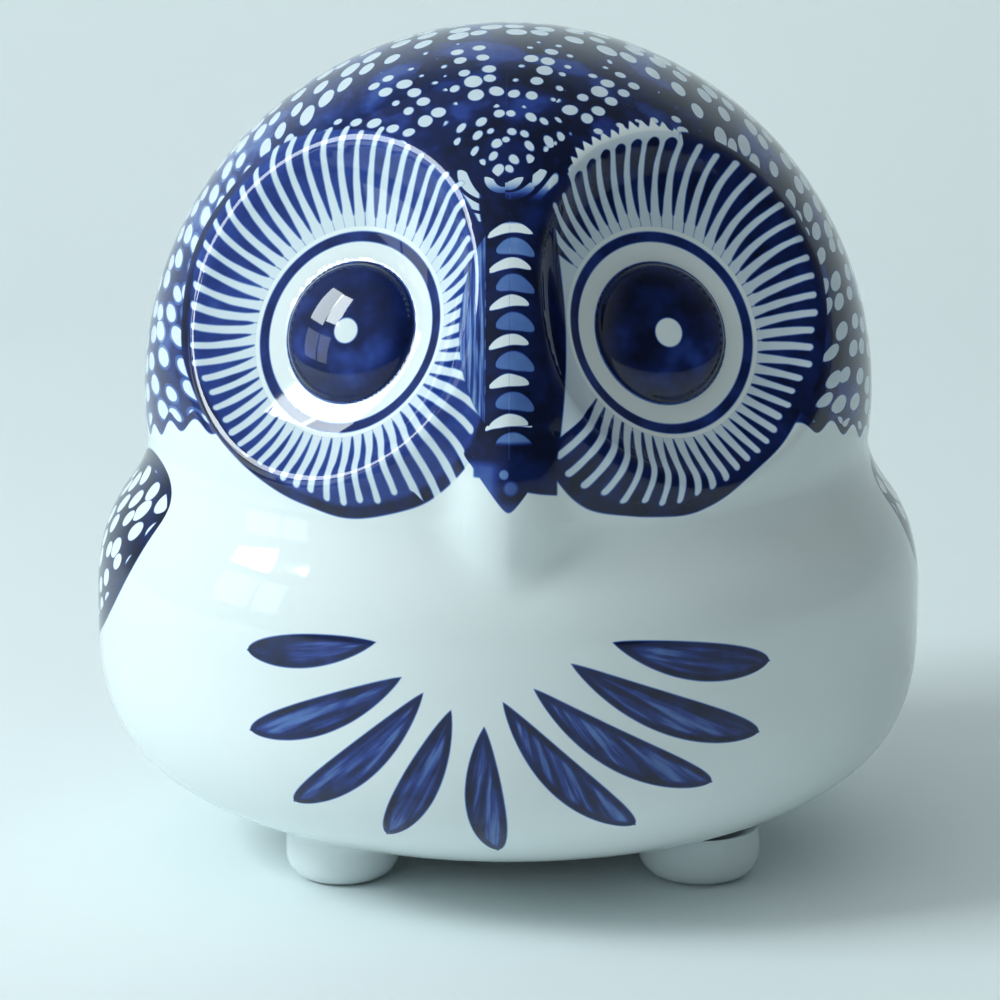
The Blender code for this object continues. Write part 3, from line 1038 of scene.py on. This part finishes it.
def finish_glaze(tree, shader, paint, vector):
    """Turns paint thickness into colour, with pooling, faint mottling and a nearly smooth coat."""
    pooled = noise(tree, vector, 260.0, 3.0)
    paint = paint * (pooled * 0.44 + 0.77)
    colour = add_ramp(tree, paint, COBALT_STOPS)
    cloud = noise(tree, vector, 45.0, 3.0) * 0.07 + 0.965
    tint = tree.nodes.new("ShaderNodeVectorMath")
    tint.operation = "SCALE"
    tree.links.new(colour, tint.inputs[0])
    tree.links.new(cloud.socket, tint.inputs["Scale"])
    tree.links.new(tint.outputs[0], shader.inputs["Base Color"])
    relief = noise(tree, vector, 90.0, 2.0) * 0.6 + paint * 0.25
    add_bump(tree, shader, relief, 0.02, 0.0006)


def head_paint(x, y, z, vector):
    tree = x.tree
    wobble = noise(tree, vector, 300.0, 1.0)
    left = x.step(-0.1, 0.1)
    hood = paint_hood(x, y, z, wobble)
    paint = hood * hood_area(x, y, z)
    sway_noise = noise(tree, vector, 110.0, 0.0)
    disc, area, fringe = paint_disc(x, y, z, wobble, sway_noise, left)
    paint = paint * (1.0 - fringe)
    paint = area.blend(paint, disc)
    strip, strip_area = paint_strip(x, y, z, wobble)
    return strip_area.blend(paint, strip)


def make_head_material(name):
    """Hood, discs and brow, as painted over the head and across the beak."""
    material, tree, shader = new_glaze(name)
    x, y, z, vector = surface_point(tree)
    finish_glaze(tree, shader, head_paint(x, y, z, vector) * z.step(56.0, 57.0), vector)
    return material


def make_breast_material():
    material, tree, shader = new_glaze("painted_glaze_breast")
    x, y, z, vector = surface_point(tree)
    fan = (z - 47.0).math("ARCTAN2", x)
    streak = noise(tree, combine(tree, fan * 26.0, hypot(x, z - 47.0) * 0.09, 0.0), 0.9, 2.0)
    finish_glaze(tree, shader, paint_body(x, y, z, streak), vector)
    return material


def make_pupil_material(name, dot_across, dot_up, dot_radius):
    """Dark cobalt with a brighter bloom low on the dome and a reserved white dot; the window-side pupil is
    painted lighter.
    """
    material, tree, shader = new_glaze(name)
    x, y, z, vector = surface_point(tree)
    across, up, _ = disc_frame(x, y, z)
    radius = hypot(across, up)
    bloom = noise(tree, vector, 170.0, 2.0)
    lit = bloom.step(0.40, 0.75) * radius.step(9.0, 6.0) * up.step(5.0, -5.0)
    # Painted light: the window-side pupil (-X) is painted a little lighter than the other.
    ground = 0.97 - lit * 0.26 - (-x).step(0.0, 10.0) * 0.06
    dot = hypot(across - dot_across, up - dot_up).step(dot_radius + 0.2, dot_radius - 0.2)
    inner = radius.step(EYE_RADIUS + 0.48, EYE_RADIUS + 0.02)
    paint = (ground - dot * ground * 0.98) * inner
    paint = paint.above(paint_rings(radius) * (1.0 - inner))
    finish_glaze(tree, shader, paint, vector)
    return material


def make_plain_glaze(name):
    material, tree, shader = new_glaze(name)
    vector = surface_point(tree)[3]
    faint = noise(tree, vector, 120.0, 2.0) * 0.03
    finish_glaze(tree, shader, faint, vector)
    return material


def make_bisque_material():
    """Unglazed fired clay: matte, fine-grained, slightly warm."""
    material, tree, shader = new_material("bare_bisque", 0.75)
    vector = surface_point(tree)[3]
    grain = noise(tree, vector, 900.0, 3.0)
    cloud = noise(tree, vector, 60.0, 2.0)
    colour = add_ramp(tree, grain * 0.5 + cloud * 0.5, BISQUE_STOPS)
    tree.links.new(colour, shader.inputs["Base Color"])
    add_bump(tree, shader, grain, 0.25, 0.0003)
    return material


def make_stopper_material():
    """Translucent grey soft plastic with handling marks."""
    material, tree, shader = new_material("soft_stopper", 0.5, 1.48)
    x, y, z, vector = surface_point(tree)
    cloud = noise(tree, vector, 140.0, 3.0)
    radius = hypot(x, y)
    turned = noise(tree, combine(tree, radius, z, 0.0), 2.2, 2.0)
    colour = add_ramp(tree, cloud * 0.6 + turned * 0.4, STOPPER_STOPS)
    tree.links.new(colour, shader.inputs["Base Color"])
    tree.links.new((cloud * 0.20 + 0.36).socket, shader.inputs["Roughness"])
    add_bump(tree, shader, turned, 0.15, 0.0002)
    return material


# ---------------------------------------------------------------- stage

CAMERA_DISTANCE = 470.0
CAMERA_ELEVATION = math.radians(12.0)
CAMERA_AZIMUTH = math.radians(0.7)
CAMERA_AIM = (-1.2, 0.0, 51.4)
CAMERA_WIDTH = 148.4
FLOOR_FRONT = -1400.0
FLOOR_HALF_WIDTH = 1600.0
SWEEP_START = 500.0
SWEEP_RADIUS = 500.0
BACKDROP_TOP = 1900.0
WINDOW_DISTANCE = 900.0
FILL_DISTANCE = 1300.0
DAYLIGHT = (0.93, 0.98, 1.0)
SKYLIGHT = (0.87, 0.98, 1.0)
ROOM_COLOUR = (0.88, 1.0, 1.02, 1.0)


def make_camera():
    camera = bpy.data.cameras.new("camera")
    camera.sensor_width = 36.0
    camera.lens = 36.0 * CAMERA_DISTANCE / CAMERA_WIDTH
    camera.clip_start = 0.01
    item = bpy.data.objects.new("camera", camera)
    bpy.context.scene.collection.objects.link(item)
    level = math.cos(CAMERA_ELEVATION)
    sideways = math.sin(CAMERA_AZIMUTH) * level
    forward = math.cos(CAMERA_AZIMUTH) * level
    back = Vector((sideways, -forward, math.sin(CAMERA_ELEVATION)))
    item.location = (Vector(CAMERA_AIM) + back * CAMERA_DISTANCE) * MM
    item.rotation_euler = back.to_track_quat("Z", "Y").to_euler()
    bpy.context.scene.camera = item


def make_floor():
    """A pale sweep: flat under the bank and curving up far behind it."""
    profile = [(FLOOR_FRONT, 0.0), (SWEEP_START, 0.0)]
    for step in range(1, 13):
        angle = 0.5 * math.pi * step / 12
        back = SWEEP_START + SWEEP_RADIUS * math.sin(angle)
        profile.append((back, SWEEP_RADIUS * (1.0 - math.cos(angle))))
    profile.append((SWEEP_START + SWEEP_RADIUS, BACKDROP_TOP))
    points = [(x, y, z) for y, z in profile for x in (-FLOOR_HALF_WIDTH, FLOOR_HALF_WIDTH)]
    faces = [(2 * row, 2 * row + 1, 2 * row + 3, 2 * row + 2) for row in range(len(profile) - 1)]
    floor = new_mesh_object("studio_floor", points, faces)
    material, tree, shader = new_material("floor_paper", 0.65)
    vector = surface_point(tree)[3]
    cloud = noise(tree, vector, 3.0, 1.0)
    tree.links.new(add_ramp(tree, cloud, FLOOR_STOPS), shader.inputs["Base Color"])
    floor.data.materials.append(material)


def add_panel(name, azimuth, elevation, distance, width, height, power, colour):
    """A soft rectangular light that faces the bank. Azimuth 0 is in front, positive to +X."""
    light = bpy.data.lights.new(name, "AREA")
    light.shape = "RECTANGLE"
    light.size = width * MM
    light.size_y = height * MM
    light.energy = power
    light.color = colour
    item = bpy.data.objects.new(name, light)
    bpy.context.scene.collection.objects.link(item)
    turn = math.radians(azimuth)
    rise = math.radians(elevation)
    way = Vector((math.sin(turn) * math.cos(rise), -math.cos(turn) * math.cos(rise), math.sin(rise)))
    item.location = (Vector((0.0, 0.0, 60.0)) + way * distance) * MM
    item.rotation_euler = way.to_track_quat("Z", "Y").to_euler()
    return item


def add_glow(tree, direction, low, high, strength):
    """Room light that grows toward one direction, from low to high in its cosine."""
    where = tree.nodes.new("ShaderNodeTexCoord")
    toward = tree.nodes.new("ShaderNodeVectorMath")
    toward.operation = "DOT_PRODUCT"
    toward.inputs[1].default_value = Vector(direction).normalized()
    tree.links.new(where.outputs["Generated"], toward.inputs[0])
    glow = tree.nodes.new("ShaderNodeMapRange")
    glow.interpolation_type = "SMOOTHSTEP"
    glow.inputs["From Min"].default_value = low
    glow.inputs["From Max"].default_value = high
    glow.inputs["To Min"].default_value = 0.0
    glow.inputs["To Max"].default_value = strength
    tree.links.new(toward.outputs["Value"], glow.inputs["Value"])
    return Field(tree, glow.outputs["Result"])


def make_lights():
    """A divided window to the left, bright above its transom, with soft fill from that side and above."""
    panes = (
        ("window_sky_near", -63.0, 36.0, 150.0, 270.0, 2.4),
        ("window_sky_far", -77.0, 35.0, 220.0, 320.0, 2.8),
        ("window_lower_near", -64.0, 12.0, 130.0, 260.0, 0.24),
        ("window_lower_far", -76.0, 12.0, 200.0, 260.0, 0.34),
    )
    for name, azimuth, elevation, width, height, power in panes:
        add_panel(name, azimuth, elevation, WINDOW_DISTANCE, width, height, power, SKYLIGHT)
    soft = (
        ("fill_left", -70.0, 22.0, 1800.0, 1400.0, 1.3),
        ("fill_top", -10.0, 75.0, 1500.0, 1500.0, 3.8),
        ("fill_right", 65.0, 40.0, 1200.0, 1200.0, 0.9),
    )
    fills = []
    for name, azimuth, elevation, width, height, power in soft:
        fills.append(add_panel(name, azimuth, elevation, FILL_DISTANCE, width, height, power, DAYLIGHT))
    wash = add_panel("backdrop_wash", 180.0, 60.0, WINDOW_DISTANCE, 1600.0, 300.0, 2.2, DAYLIGHT)
    wash.rotation_euler = Vector((0.0, -1.0, 0.75)).to_track_quat("Z", "Y").to_euler()
    fills.append(wash)
    for fill in fills:
        fill.visible_glossy = False
    world = bpy.data.worlds.new("pale_room")
    bpy.context.scene.world = world
    world.use_nodes = True
    tree = world.node_tree
    background = tree.nodes["Background"]
    background.inputs["Color"].default_value = ROOM_COLOUR
    side = add_glow(tree, (-1.0, 0.0, 0.3), -0.1, 1.0, 0.30)
    front = add_glow(tree, (-1.0, -0.6, 0.3), 0.2, 1.0, 0.14)
    back = add_glow(tree, (0.3, 1.0, 0.2), 0.0, 1.0, 0.16)
    tree.links.new((side + front + back + 0.05).socket, background.inputs["Strength"])


# ---------------------------------------------------------------- assembly

def finish_piece(item, materials, slot, body, *nodes):
    item.data.materials.clear()
    for material in materials:
        item.data.materials.append(material)
    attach(item, body)
    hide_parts(*nodes)


def main():
    make_camera()
    make_lights()
    make_floor()
    shell = make_shell()
    cut(shell, slot_cutter())
    use_field_normals(shell, glazed_gap)
    head = make_head_material("painted_glaze_head")
    coats = [head, make_breast_material(), make_bisque_material()]
    finish_piece(shell, coats, "white_glaze", "bank", "body_shell")
    assign_zones(shell)
    dots = {"left": (-0.4, -0.6, 2.0), "right": (-0.9, -0.4, 1.75)}
    for side_name, side in SIDES.items():
        dome = make_eye_dome("pupil_" + side_name, side)
        material = make_pupil_material("painted_glaze_pupil_" + side_name, *dots[side_name])
        finish_piece(dome, [material], "cobalt_glaze_eye_" + side_name, "bank", "eye_dome_" + side_name)
    beak_coat = make_head_material("painted_glaze_beak")
    finish_piece(make_beak(), [beak_coat], "cobalt_glaze_beak", "bank", "beak")
    plain = make_plain_glaze("plain_glaze_feet")
    for place in FEET:
        foot = make_foot(place)
        finish_piece(foot, [plain], "white_glaze_foot_" + place, "bank", "foot_" + place)
    finish_piece(make_stopper(), [make_stopper_material()], "stopper_rubber", "stopper", "stopper")
    bpy.context.scene.view_settings.view_transform = "Standard"


main()
